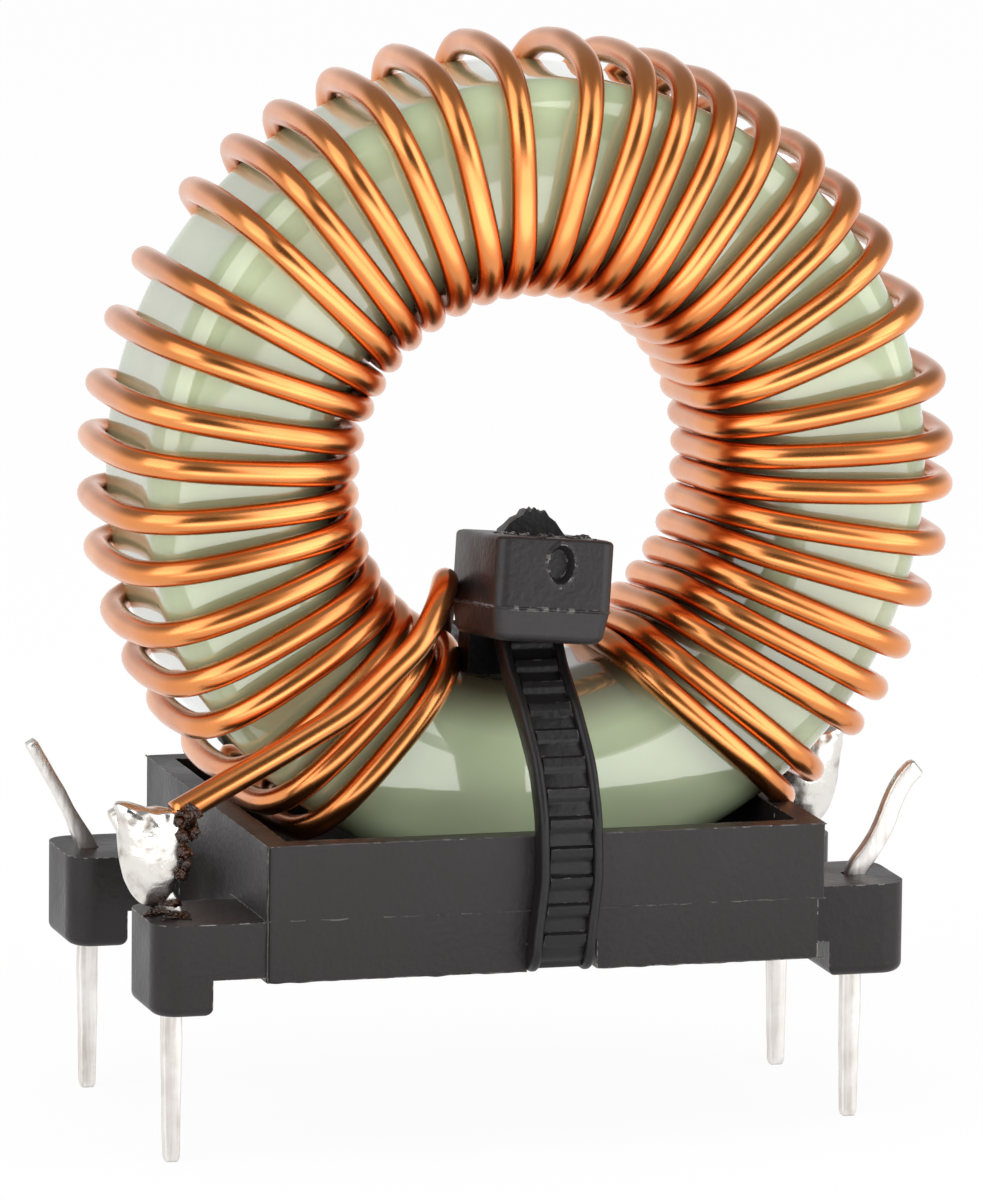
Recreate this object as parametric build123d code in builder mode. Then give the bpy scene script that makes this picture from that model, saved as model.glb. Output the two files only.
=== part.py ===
"""Toroidal inductor on a four-pin mounting base, in millimetres.

Frame: X runs along the base, Y runs to the rear, Z is up. The origin is the centre of the four
pins on the board's surface, which the feet of the base rest on.
"""

import os
from math import atan2, cos, radians, sin, tan

from build123d import *

# Ring core, coated
core_outer_diameter = 33.0
core_inner_diameter = 16.8
core_height = 9.8
core_edge_radius = 1.4
core_offset_x = 1.6
core_offset_y = 0.1

# Enamelled wire and its turns, with angles from straight down towards +X
wire_diameter = 1.09
wire_seat_gap = 0.08
wire_outer_slack = 0.3
wire_inner_bend_radius = 1.7
wire_outer_bend_radius = 2.2
wire_sides = 6
first_inner_angle = 29.0
last_inner_angle = 330.0
first_outer_angle = 40.8
last_outer_angle = 324.5
strand_angle_shares = (0.0, 0.05, 0.15, 0.3, 0.8, 0.95, 1.0, 1.0)
back_outer_share = 0.0
back_inner_share = 0.1
start_lead_angle = 35.0
finish_exit_angle = 314.0
finish_leave_angle = 308.5

# Gaps between neighbouring turns at the outer rim, from the start of the wire to its end
outer_gap_shares = (
    5, 9, 6, 6.5, 8, 7.5, 8, 6, 8.5, 11, 10, 8, 7.5, 8, 7, 6.5, 6, 8,
    11.5, 10, 9, 8.5, 7.5, 8, 11.5, 9, 9, 7.5, 8, 7.5, 9, 7.5, 7, 8, 6.5, 6,
)

# Mounting base, an open tray
base_length = 23.5
base_depth = 20.4
base_height = 5.6
base_wall = 1.0
base_floor = 2.6
base_offset_x = 0.35
base_offset_y = 0.4
base_corner_radius = 0.25
standoff = 1.3
parting_height = 2.5
parting_step = 0.3

# Lugs, their feet and the places of the pins
pin_setout = 2.95
pin_winding_clearance = 1.2
left_pin_inset = 3.0
right_pin_inset = 5.1
lug_width = 5.0
left_lug_overhang = 1.3
right_lug_overhang = 1.7
lug_corner_radius = 1.1
lug_underside = 0.2
left_foot_length = 2.4
right_foot_length = 3.4
foot_edge_radius = 0.4

# Pins, cut from flat strip and leaning outwards at the top
pin_width = 0.82
pin_thickness = 0.6
pin_reach = 6.4
pin_tip_width = 0.55
pin_taper_length = 5.0
pin_top_length = 4.8
pin_lean = 31.0
pin_bend_radius = 1.2
pin_bend_height = 0.4
pin_clearance = 0.02

# Cable tie
tie_width = 2.65
tie_thickness = 1.1
tie_offset_x = 0.95
tie_gap = 0.08
tie_hole_gap = 0.25
tie_bend_radius = 1.3
tie_corner_radius = 0.7
tie_corner_rise = 0.45
tie_span_radius = 4.0
tie_span_rise = 2.1
span_radius_share = 0.9
tie_rail_width = 0.42
tie_rail_height = 0.3
tie_tooth_pitch = 1.25
tie_tooth_height = 0.2
tie_plain_length = 14.0
tooth_length_share = 0.8
tie_groove_depth = 1.2
tie_groove_clearance = 0.15
head_width = 4.95
head_length = 6.7
head_height = 4.25
head_offset_x = -0.35
head_skirt_height = 1.1
head_skirt_taper = 8.0
head_lift = 2.65
head_slot_setback = 3.6
head_root_setback = 5.1
head_roll = 5.0
head_corner_radius = 0.5
head_edge_radius = 0.3
dent_width = 1.05
dent_height = 1.5
dent_depth = 0.4
dent_drop = 1.2
dent_offset = 0.15
stub_height = 1.0
stub_top_width = 1.2
stub_notch_depth = 0.25

# Solder joints
solder_top_radius = 1.55
solder_foot_radius = 0.8
solder_height = 4.1
solder_lift = 0.4
solder_shift = 0.2
solder_lean = 18.0
solder_clearance = 0.02
lead_entry_inset = 0.7
lead_entry_rise = 0.8

# Cuts run past their faces by this much
overrun = 1.0

# Heights and places that follow from the sizes
wire_radius = wire_diameter / 2
core_outer_radius = core_outer_diameter / 2
core_inner_radius = core_inner_diameter / 2
floor_top = standoff + base_floor
base_top = standoff + base_height
lug_top = standoff + parting_height
core_centre_z = floor_top + core_outer_radius
base_front = base_offset_y - base_depth / 2
base_rear = base_offset_y + base_depth / 2
base_left = base_offset_x - base_length / 2
base_right = base_offset_x + base_length / 2
core_front = core_offset_y - core_height / 2
core_rear = core_offset_y + core_height / 2
winding_reach = core_outer_radius + wire_outer_slack + wire_diameter
winding_edge_x = core_offset_x + winding_reach * sin(radians(first_outer_angle))
pin_x = max(base_length / 2 + pin_setout, winding_edge_x + pin_winding_clearance)
left_pin_row = base_depth / 2 - left_pin_inset
right_pin_row = base_depth / 2 - right_pin_inset

# Each lug's side along X and its row along Y
lug_places = {
    "front_left": (-1, -left_pin_row),
    "rear_left": (-1, left_pin_row),
    "front_right": (1, -right_pin_row),
    "rear_right": (1, right_pin_row),
}

os.makedirs("parts", exist_ok=True)


# Mounting base: a tray with four lugs, each with a foot below and a slot for its pin
with BuildPart() as mounting_base:
    with BuildSketch(Plane.XY.offset(standoff)):
        with Locations((base_offset_x, base_offset_y)):
            RectangleRounded(base_length, base_depth, base_corner_radius)
    extrude(amount=base_height)

    # The lower half of the right end is set in below the parting line
    with BuildSketch(Plane.XY.offset(standoff)):
        with Locations((base_right, base_offset_y)):
            Rectangle(2 * parting_step, base_depth + overrun)
    extrude(amount=parting_height, mode=Mode.SUBTRACT)

    for side, row in lug_places.values():
        on_left = side < 0
        lug_end = side * (pin_x + (left_lug_overhang if on_left else right_lug_overhang))
        lug_root = (base_left if on_left else base_right) - side * base_wall
        foot_length = left_foot_length if on_left else right_foot_length
        with BuildSketch(Plane.XY.offset(standoff + lug_underside)):
            with Locations(((lug_end + lug_root) / 2, row)):
                Rectangle(abs(lug_end - lug_root), lug_width)
        extrude(amount=parting_height - lug_underside)
        with BuildSketch(Plane.XY):
            with Locations((lug_end - side * foot_length / 2, row)):
                Rectangle(foot_length, lug_width)
        extrude(amount=lug_top)

    # Round the outer corners of the lugs and the rims of the feet
    upright = mounting_base.edges().filter_by(Axis.Z)
    outermost = upright.group_by(Axis.X)
    fillet(outermost[0] + outermost[-1], lug_corner_radius)
    fillet(mounting_base.faces().filter_by(Axis.Z).group_by(Axis.Z)[0].edges(), foot_edge_radius)

    # Tray pocket
    with BuildSketch(Plane.XY.offset(floor_top)):
        with Locations((base_offset_x, base_offset_y)):
            Rectangle(base_length - 2 * base_wall, base_depth - 2 * base_wall)
    extrude(amount=base_height, mode=Mode.SUBTRACT)

    # Pin slots
    with BuildSketch(Plane.XY):
        for side, row in lug_places.values():
            with Locations((side * pin_x, row)):
                Rectangle(pin_width + 2 * pin_clearance, pin_thickness + 2 * pin_clearance)
    extrude(amount=lug_top, mode=Mode.SUBTRACT)

    # Groove in the underside for the strap of the tie
    with BuildSketch(Plane.XY.offset(standoff)):
        with Locations((tie_offset_x, base_offset_y)):
            Rectangle(tie_width + 2 * tie_groove_clearance, base_depth + overrun)
    extrude(amount=tie_groove_depth, mode=Mode.SUBTRACT)
mounting_base.part.label = "mounting_base"
export_step(mounting_base.part, "parts/mounting_base.step")


# Pins: tapered strip that stands in its lug and leans outwards above it
pins = {}
for place, (side, row) in lug_places.items():
    lean_x = side * pin_top_length * sin(radians(pin_lean))
    lean_z = pin_top_length * cos(radians(pin_lean))
    bend_z = lug_top + pin_bend_height
    with BuildPart() as pin:
        with BuildSketch(Plane.XZ.offset(-row)):
            with BuildLine():
                FilletPolyline(
                    (side * pin_x, -pin_reach + pin_taper_length),
                    (side * pin_x, bend_z),
                    (side * pin_x + lean_x, bend_z + lean_z),
                    radius=pin_bend_radius,
                )
            trace(line_width=pin_width)
            with BuildLine():
                Polyline(
                    (side * pin_x - pin_tip_width / 2, -pin_reach),
                    (side * pin_x + pin_tip_width / 2, -pin_reach),
                    (side * pin_x + pin_width / 2, -pin_reach + pin_taper_length),
                    (side * pin_x - pin_width / 2, -pin_reach + pin_taper_length),
                    close=True,
                )
            make_face()
        extrude(amount=pin_thickness / 2, both=True)
    pin.part.label = f"pin_{place}"
    export_step(pin.part, f"parts/pin_{place}.step")
    pins[place] = pin.part


# Toroid core: a ring with rounded edges, turned about its axis along Y
core_plane = Plane((core_offset_x, core_offset_y, core_centre_z))
with BuildPart() as toroid_core:
    with BuildSketch(core_plane):
        with Locations(((core_outer_radius + core_inner_radius) / 2, 0)):
            RectangleRounded(core_outer_radius - core_inner_radius, core_height, core_edge_radius)
    revolve(axis=Axis(core_plane.origin, (0, 1, 0)))
toroid_core.part.label = "toroid_core"
export_step(toroid_core.part, "parts/toroid_core.step")


# Winding: one wire, wound through the hole turn by turn, with a lead at each end
strand_inner = core_inner_radius - wire_radius - wire_seat_gap
strand_outer = core_outer_radius + wire_radius + wire_outer_slack
strand_face = core_height / 2 + wire_radius + wire_seat_gap
bend_inner = strand_inner + wire_inner_bend_radius
bend_outer = strand_outer - wire_outer_bend_radius
inner_bend_depth = strand_face - wire_inner_bend_radius
outer_bend_depth = strand_face - wire_outer_bend_radius
layer_step = wire_diameter + wire_seat_gap
bend_steps = len(strand_angle_shares) // 2 - 1
turn_count = len(outer_gap_shares) + 1
inner_pitch = (last_inner_angle - first_inner_angle) / (turn_count - 1)
outer_arc = last_outer_angle - first_outer_angle


def ring_point(radius: float, angle: float, y: float) -> Vector:
    """A point round the core's axis, at a depth y from the middle of the core."""
    turned = radians(angle)
    x = core_offset_x + radius * sin(turned)
    z = core_centre_z - radius * cos(turned)
    return Vector(x, core_offset_y + y, z)


def bend(centre_radius: float, centre_y: float, reach: float, start: float) -> list:
    """Radius and depth of the points round one quarter bend of a turn."""
    angles = [radians(start + 90 * step / bend_steps) for step in range(bend_steps + 1)]
    return [(centre_radius + reach * cos(angle), centre_y + reach * sin(angle)) for angle in angles]


def spread(places: list, start: float, end: float) -> list:
    """Points for a strand's eight places, whose angle goes from start to end along the strand."""
    return [
        ring_point(radius, start + (end - start) * share, y)
        for (radius, y), share in zip(places, strand_angle_shares)
    ]


def inner_angle(turn: float) -> float:
    """Angle of a turn where it comes out of the hole at the front."""
    return first_inner_angle + inner_pitch * turn


def outer_angle(turn: int) -> float:
    """Angle of a turn at the front of the outer rim."""
    return first_outer_angle + outer_arc * sum(outer_gap_shares[:turn]) / sum(outer_gap_shares)


def drop_foot(side: int, row: float) -> Vector:
    """The lowest point of a solder joint."""
    return Vector(side * (pin_x + solder_shift), row, lug_top + solder_lift)


def drop_axis(side: int) -> Vector:
    """Direction of a solder joint's axis, which leans outwards with its pin."""
    return Vector(side * sin(radians(solder_lean)), 0, cos(radians(solder_lean)))


def lead_end(place: str) -> Vector:
    """The point inside a solder joint where a lead stops."""
    side, row = lug_places[place]
    inset = Vector(-side * lead_entry_inset, 0, lead_entry_rise)
    return drop_foot(side, row) + drop_axis(side) * (solder_height - solder_top_radius) + inset


front_places = bend(bend_inner, -inner_bend_depth, wire_inner_bend_radius, 180)
front_places += bend(bend_outer, -outer_bend_depth, wire_outer_bend_radius, 270)
rear_outer_places = bend(bend_outer, outer_bend_depth, wire_outer_bend_radius, 0)
rear_inner_places = bend(bend_inner, inner_bend_depth, wire_inner_bend_radius, 90)

# The start lead runs from the rear joint along the back of the core into the hole
route = [lead_end("rear_right")]
route += [ring_point(bend_outer, start_lead_angle, strand_face)]
route += [ring_point(radius, inner_angle(-1 + back_inner_share), y) for radius, y in rear_inner_places]
for turn in range(turn_count):
    following = min(turn + 1, turn_count - 1)
    rear_outer = outer_angle(turn) + (outer_angle(following) - outer_angle(turn)) * back_outer_share
    lift = layer_step if turn == turn_count - 1 else 0
    rear_places = rear_outer_places + [(radius - lift, y) for radius, y in rear_inner_places]
    route += spread(front_places, inner_angle(turn), outer_angle(turn))
    route += spread(rear_places, rear_outer, inner_angle(turn + back_inner_share))

# The finish lead comes back through the hole over its neighbours and crosses them at the front
upper_inner = strand_inner - layer_step
upper_face = strand_face + layer_step
route += [
    ring_point(upper_inner, (last_inner_angle + finish_exit_angle) / 2, 0),
    ring_point(upper_inner, finish_exit_angle, -inner_bend_depth),
    ring_point(strand_inner, finish_exit_angle, -upper_face),
    ring_point(bend_outer, finish_leave_angle, -upper_face),
    lead_end("front_left"),
]

with BuildPart() as winding:
    with BuildLine() as wire_route:
        Polyline(*route)
    with BuildSketch(Plane(wire_route.line @ 0, x_dir=(0, 1, 0), z_dir=wire_route.line % 0)):
        RegularPolygon(wire_radius, wire_sides)
    sweep(transition=Transition.RIGHT)
winding.part.label = "winding"
export_step(winding.part, "parts/winding.step")


# Solder joints: a drop of solder round the leaning top of a pin and the end of a lead
for place, lead_start in (("front_left", route[-2]), ("rear_right", route[1])):
    side, row = lug_places[place]
    foot, axis = drop_foot(side, row), drop_axis(side)
    drop_plane = Plane(foot, x_dir=(0, 1, 0), z_dir=Vector(0, 1, 0).cross(axis))
    lead_stop = lead_end(place)
    lead_direction = (lead_start - lead_stop).normalized()
    with BuildPart() as solder_joint:
        with BuildSketch(drop_plane):
            with Locations((0, solder_foot_radius)):
                Circle(solder_foot_radius)
            with Locations((0, solder_height - solder_top_radius)):
                Circle(solder_top_radius)
            make_hull()
            with Locations((-solder_top_radius, solder_height / 2)):
                Rectangle(2 * solder_top_radius, solder_height, mode=Mode.SUBTRACT)
        revolve(axis=Axis(foot, axis))
        with BuildSketch(Plane(lead_stop - lead_direction * solder_clearance, z_dir=lead_direction)):
            Circle(wire_radius + solder_clearance)
        extrude(amount=solder_height, mode=Mode.SUBTRACT)
        add(pins[place], mode=Mode.SUBTRACT)
    solder_joint.part.label = f"solder_joint_{place}"
    export_step(solder_joint.part, f"parts/solder_joint_{place}.step")


# Cable tie: a toothed strap round the core and the base, with its head at the front of the hole
strap_half = tie_thickness / 2
hole_floor = core_centre_z - core_inner_radius
strap_front = core_front - tie_gap - strap_half
strap_rear = core_rear + tie_gap + strap_half
strap_hole = hole_floor + tie_hole_gap + strap_half
strap_under = standoff + tie_groove_depth - tie_gap - strap_half
strap_base_front = base_front - tie_gap - strap_half
strap_base_rear = base_rear + tie_gap + strap_half
head_bottom = hole_floor + head_lift
head_front = strap_front - head_slot_setback
head_root = head_front + head_root_setback
core_bend_z = hole_floor - core_edge_radius
base_bend_z = base_top + tie_corner_rise
span_bend_z = base_top + tie_span_rise
channel_width = tie_width - 2 * tie_rail_width
channel_floor = strap_half - tie_rail_height

tie_plane = Plane((tie_offset_x, 0, 0), x_dir=(0, 1, 0), z_dir=(1, 0, 0))
head_x = tie_offset_x + head_offset_x
head_middle = (head_x, head_front + head_length / 2, head_bottom + head_skirt_height)
head_plane = Plane(Location(head_middle, (0, head_roll, 0)))
head_top = head_bottom + head_height
dent_middle = (head_x + dent_offset, head_front, head_top - dent_drop)
dent_plane = Plane(dent_middle, x_dir=(1, 0, 0), z_dir=(0, -1, 0))
stub_plane = Plane((head_x, strap_front, head_top), x_dir=(1, 0, 0), z_dir=(0, -1, 0))

span_turn = atan2(strap_front - strap_base_front, head_bottom - span_bend_z)
span_radius = min(tie_span_radius, head_height / 2 / tan(span_turn / 2) * span_radius_share)
strap_radii = [span_radius] * 2 + [tie_corner_radius] * 2 + [tie_bend_radius] * 4

with BuildLine(tie_plane) as tie_route:
    FilletPolyline(
        (strap_front, head_bottom + head_height / 2),
        (strap_front, head_bottom),
        (strap_base_front, span_bend_z),
        (strap_base_front, strap_under),
        (strap_base_rear, strap_under),
        (strap_base_rear, base_bend_z),
        (strap_rear, core_bend_z),
        (strap_rear, strap_hole),
        (head_root, strap_hole),
        (head_root, head_bottom + head_height / 2),
        radius=strap_radii,
    )
strap_path = tie_route.wire()
first_tooth = head_height / 2
tooth_count = int((strap_path.length - first_tooth - tie_plain_length) / tie_tooth_pitch)

with BuildPart() as cable_tie:
    # Head with rounded edges, a tapered skirt and a dent at the pawl
    with BuildSketch(head_plane):
        RectangleRounded(head_width, head_length, head_corner_radius)
    extrude(amount=head_height - head_skirt_height)
    with BuildSketch(head_plane):
        RectangleRounded(head_width, head_length, head_corner_radius)
    extrude(amount=-head_skirt_height, taper=head_skirt_taper)
    for face in cable_tie.faces().sort_by(Axis.Z)[0], cable_tie.faces().sort_by(Axis.Z)[-1]:
        fillet(face.edges(), head_edge_radius)
    with BuildSketch(dent_plane):
        Ellipse(dent_width / 2, dent_height / 2)
    extrude(amount=-dent_depth, mode=Mode.SUBTRACT)

    # Strap: a shallow channel, open to the outside
    with BuildSketch(Plane(strap_path @ 0, x_dir=(1, 0, 0), z_dir=strap_path % 0)):
        Rectangle(tie_width, tie_thickness)
        with Locations((0, strap_half)):
            Rectangle(channel_width, 2 * tie_rail_height, mode=Mode.SUBTRACT)
    sweep(path=strap_path)

    # Teeth across the channel
    with BuildSketch(tie_plane):
        for tooth in range(tooth_count):
            reach = first_tooth + tie_tooth_pitch * tooth
            spot = strap_path.position_at(reach, PositionMode.LENGTH)
            course = strap_path.tangent_at(reach, PositionMode.LENGTH)
            middle = tie_plane.to_local_coords(spot)
            along = tie_plane.to_local_coords(tie_plane.origin + course)
            outward = Vector(along.Y, -along.X)
            root = middle + outward * (channel_floor - tie_tooth_height)
            crest = middle + outward * (channel_floor + tie_tooth_height)
            with BuildLine():
                Polyline(
                    root,
                    crest,
                    root + along * tie_tooth_pitch * tooth_length_share,
                    close=True,
                )
            make_face()
    extrude(amount=channel_width / 2, both=True)

    # Cut end of the strap, on top of the head
    with BuildSketch(stub_plane):
        with BuildLine():
            Polyline(
                (-tie_width / 2, -stub_height),
                (tie_width / 2, -stub_height),
                (stub_top_width / 2, stub_height),
                (0, stub_height - stub_notch_depth),
                (-stub_top_width / 2, stub_height),
                close=True,
            )
        make_face()
    extrude(amount=strap_half, both=True)
cable_tie.part.label = "cable_tie"
export_step(cable_tie.part, "parts/cable_tie.step")
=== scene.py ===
"""Looks of a toroidal inductor: a wound ring core strapped upright to a base with four pins.

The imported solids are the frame. Lengths are in metres, and places are in the frame's own axes: X along
the base, Y to the rear and Z up from the board. Angles are in degrees, and those round the ring run
from straight down towards +X. Tables of points, and classes that say so, are in millimetres.
"""

import logging
import math
import random
from collections.abc import Callable
from dataclasses import dataclass
from enum import Enum

import bmesh
import bpy
import numpy as np
from mathutils import Matrix, Vector, noise

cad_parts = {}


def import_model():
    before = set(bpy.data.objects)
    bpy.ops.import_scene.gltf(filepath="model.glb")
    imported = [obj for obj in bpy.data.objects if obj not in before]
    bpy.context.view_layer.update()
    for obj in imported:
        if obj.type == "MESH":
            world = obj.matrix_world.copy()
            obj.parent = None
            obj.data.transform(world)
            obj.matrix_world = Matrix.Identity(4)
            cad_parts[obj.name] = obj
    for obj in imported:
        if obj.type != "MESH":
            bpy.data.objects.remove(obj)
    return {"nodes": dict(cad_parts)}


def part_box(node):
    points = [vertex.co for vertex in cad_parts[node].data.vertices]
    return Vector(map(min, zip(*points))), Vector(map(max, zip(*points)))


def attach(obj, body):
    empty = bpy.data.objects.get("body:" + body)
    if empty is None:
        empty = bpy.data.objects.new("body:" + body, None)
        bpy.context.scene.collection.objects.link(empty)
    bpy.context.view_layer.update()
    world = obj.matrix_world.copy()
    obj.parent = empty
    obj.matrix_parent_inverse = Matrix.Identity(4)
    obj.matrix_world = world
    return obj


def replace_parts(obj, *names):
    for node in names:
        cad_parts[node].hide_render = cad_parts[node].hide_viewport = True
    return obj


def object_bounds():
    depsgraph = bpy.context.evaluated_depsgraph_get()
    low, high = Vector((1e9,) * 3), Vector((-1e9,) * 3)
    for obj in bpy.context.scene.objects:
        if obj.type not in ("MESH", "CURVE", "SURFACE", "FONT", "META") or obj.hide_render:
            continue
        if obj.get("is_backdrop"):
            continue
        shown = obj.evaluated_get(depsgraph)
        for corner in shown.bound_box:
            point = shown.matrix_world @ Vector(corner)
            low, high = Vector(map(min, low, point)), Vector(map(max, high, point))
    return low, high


LOG = logging.getLogger("inductor")
MM = 0.001
BODY = "root"

Colour = tuple[float, float, float]
Point = tuple[float, float, float]
Span = tuple[float, float]
Material = bpy.types.Material
Mesh = bpy.types.Mesh
Piece = bpy.types.Object
Socket = bpy.types.NodeSocket

# Bent tops of the pins in millimetres: out from the shank and up from the board
PIN_TOPS: dict[str, tuple[Span, ...]] = {
    "front_left": ((0.0, 3.9), (0.4, 4.6), (1.25, 6.2), (2.4, 8.25)),
    "rear_left": ((0.0, 3.8), (0.35, 4.4), (1.3, 6.3), (2.5, 8.35)),
    "front_right": ((0.1, 3.9), (0.8, 4.75), (1.35, 5.7), (1.8, 7.0), (2.2, 7.75), (2.75, 8.2)),
    "rear_right": ((0.0, 3.9), (0.4, 4.6), (1.25, 6.2), (2.4, 8.1)),
}


class Effect(Enum):
    """Shader node groups that more than one finish uses."""

    MOTTLE = "mottle"
    SPECKS = "specks"
    STREAKS = "streaks"
    EDGE_WEAR = "edge_wear"


class Wiring:
    """Adds nodes to one node tree and links them."""

    def __init__(self, tree: bpy.types.NodeTree) -> None:
        """Keep the tree to add to."""
        self.tree = tree

    def feed(self, socket: Socket, value: object) -> None:
        """Link a socket to an output, or set it.

        Args:
            socket: The input to feed.
            value: An output, a number, a vector or a colour without its alpha.
        """
        if isinstance(value, Socket):
            self.tree.links.new(value, socket)
        else:
            socket.default_value = (*value, 1.0) if socket.type == "RGBA" else value

    def node(self, kind: str, inputs: dict | None = None, **settings: object) -> bpy.types.Node:
        """Add one node.

        Args:
            kind: The node's type, without its common prefix.
            inputs: Socket name or number to a value, or to the output that feeds it.
            settings: Attributes of the node.

        Returns:
            The new node.
        """
        made = self.tree.nodes.new("ShaderNode" + kind)
        for key, value in settings.items():
            setattr(made, key, value)
        for key, value in (inputs or {}).items():
            self.feed(made.inputs[key], value)
        return made

    def maths(self, operation: str, *values: object) -> Socket:
        """Add a Math node and return its output."""
        return self.node("Math", dict(enumerate(values)), operation=operation).outputs[0]

    def vector(self, operation: str, *values: object) -> Socket:
        """Add a Vector Math node and return its output, a number for a length or a product."""
        made = self.node("VectorMath", dict(enumerate(values)), operation=operation)
        return made.outputs["Value" if operation in ("LENGTH", "DOT_PRODUCT") else "Vector"]

    def ramp(self, value: object, low: object, high: object, out_low: float = 0.0,
             out_high: float = 1.0) -> Socket:
        """Map a value from one range to another, held at both ends, and return the output."""
        return self.node("MapRange", {0: value, 1: low, 2: high, 3: out_low, 4: out_high}).outputs[0]

    def mix(self, share: object, first: object, second: object) -> Socket:
        """Mix two colours by a share and return the output."""
        return self.node("Mix", {0: share, 6: first, 7: second}, data_type="RGBA").outputs[2]


class EffectLibrary:
    """Builds each shared shader group once."""

    @classmethod
    def tree(cls, effect: Effect) -> bpy.types.NodeTree:
        """Return a group's tree, building it on first use."""
        found = bpy.data.node_groups.get(effect.value)
        return found or getattr(cls, "_" + effect.value)(effect.value)

    @staticmethod
    def _begin(name: str, **inputs: float) -> tuple[Wiring, list[Socket]]:
        """Make an empty group with one value output.

        Args:
            name: The group's name.
            inputs: Default of each input but the vector, by name.

        Returns:
            The group's wiring, and its vector and other inputs in order.
        """
        tree = bpy.data.node_groups.new(name, "ShaderNodeTree")
        tree.interface.new_socket("Vector", in_out="INPUT", socket_type="NodeSocketVector")
        for label, default in inputs.items():
            socket = tree.interface.new_socket(label, in_out="INPUT", socket_type="NodeSocketFloat")
            socket.default_value = default
        tree.interface.new_socket("Value", in_out="OUTPUT", socket_type="NodeSocketFloat")
        given = tree.nodes.new("NodeGroupInput")
        return Wiring(tree), [given.outputs[label] for label in ("Vector", *inputs)]

    @staticmethod
    def _end(wiring: Wiring, value: Socket) -> bpy.types.NodeTree:
        """Put a value out of a group and return the group's tree."""
        result = wiring.tree.nodes.new("NodeGroupOutput")
        wiring.tree.links.new(value, result.inputs[0])
        return wiring.tree

    @classmethod
    def _mottle(cls, name: str) -> bpy.types.NodeTree:
        """Soft cloudy variation from 0 to 1."""
        wiring, (vector, scale, detail) = cls._begin(name, Scale=1000.0, Detail=3.0)
        cloud = wiring.node("TexNoise", {"Vector": vector, "Scale": scale, "Detail": detail})
        return cls._end(wiring, wiring.ramp(cloud.outputs["Fac"], 0.3, 0.7))

    @classmethod
    def _specks(cls, name: str) -> bpy.types.NodeTree:
        """Scattered round specks, 1 on a speck and 0 off it."""
        wiring, (vector, scale, share, size) = cls._begin(name, Scale=2000.0, Share=0.1, Size=0.25)
        cells = wiring.node("TexVoronoi", {"Vector": vector, "Scale": scale})
        chance = wiring.node("SeparateColor", {0: cells.outputs["Color"]})
        kept = wiring.maths("LESS_THAN", chance.outputs[0], share)
        reach = wiring.maths("MULTIPLY", size, chance.outputs[1])
        inside = wiring.maths("LESS_THAN", cells.outputs["Distance"], reach)
        return cls._end(wiring, wiring.maths("MULTIPLY", kept, inside))

    @classmethod
    def _streaks(cls, name: str) -> bpy.types.NodeTree:
        """Fine lines along the last axis of the vector, from 0 to 1."""
        wiring, (vector, across, along) = cls._begin(name, Across=4000.0, Along=100.0)
        stretch = wiring.node("CombineXYZ", {0: across, 1: across, 2: along}).outputs[0]
        scaled = wiring.vector("MULTIPLY", vector, stretch)
        lines = wiring.node("TexNoise", {"Vector": scaled, "Scale": 1.0, "Detail": 4.0})
        return cls._end(wiring, wiring.ramp(lines.outputs["Fac"], 0.3, 0.7))

    @classmethod
    def _edge_wear(cls, name: str) -> bpy.types.NodeTree:
        """Broken bright marks along sharp edges, from 0 to 1."""
        wiring, (vector, width, scale, breaks) = cls._begin(name, Width=0.1 * MM, Scale=3000.0, Breaks=0.5)
        rounded = wiring.node("Bevel", {"Radius": width}, samples=4).outputs[0]
        plain = wiring.node("NewGeometry").outputs["Normal"]
        edge = wiring.ramp(wiring.vector("DOT_PRODUCT", rounded, plain), 0.99, 0.8)
        rough = wiring.node("TexNoise", {"Vector": vector, "Scale": scale, "Detail": 5.0})
        broken = wiring.ramp(rough.outputs["Fac"], breaks, wiring.maths("ADD", breaks, 0.08))
        return cls._end(wiring, wiring.maths("MULTIPLY", edge, broken))


class Surface(Wiring):
    """A material with one Principled shader, wired step by step."""

    def __init__(self, name: str) -> None:
        """Make an empty material with its shader and its place coordinates.

        Args:
            name: The material's name.
        """
        self.material = bpy.data.materials.new(name)
        self.material.use_nodes = True
        super().__init__(self.material.node_tree)
        self.tree.nodes.clear()
        self.shader = self.node("BsdfPrincipled")
        self.output = self.node("OutputMaterial", {0: self.shader.outputs[0]})
        self.place = self.node("TexCoord").outputs["Object"]

    def effect(self, effect: Effect, **inputs: object) -> Socket:
        """Place one of the shared groups on the surface and return its output."""
        values = {key.capitalize(): value for key, value in inputs.items()}
        tree = EffectLibrary.tree(effect)
        return self.node("Group", {"Vector": self.place, **values}, node_tree=tree).outputs[0]

    def set(self, **values: object) -> None:
        """Set or link sockets of the shader, named with underscores for spaces."""
        for key, value in values.items():
            self.feed(self.shader.inputs[key.replace("_", " ")], value)

    def bump(self, height: Socket, depth: float, strength: float = 1.0) -> None:
        """Raise the surface by a height from 0 to 1 over a depth in metres."""
        made = self.node("Bump", {"Height": height, "Distance": depth, "Strength": strength})
        self.set(Normal=made.outputs[0])


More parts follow.
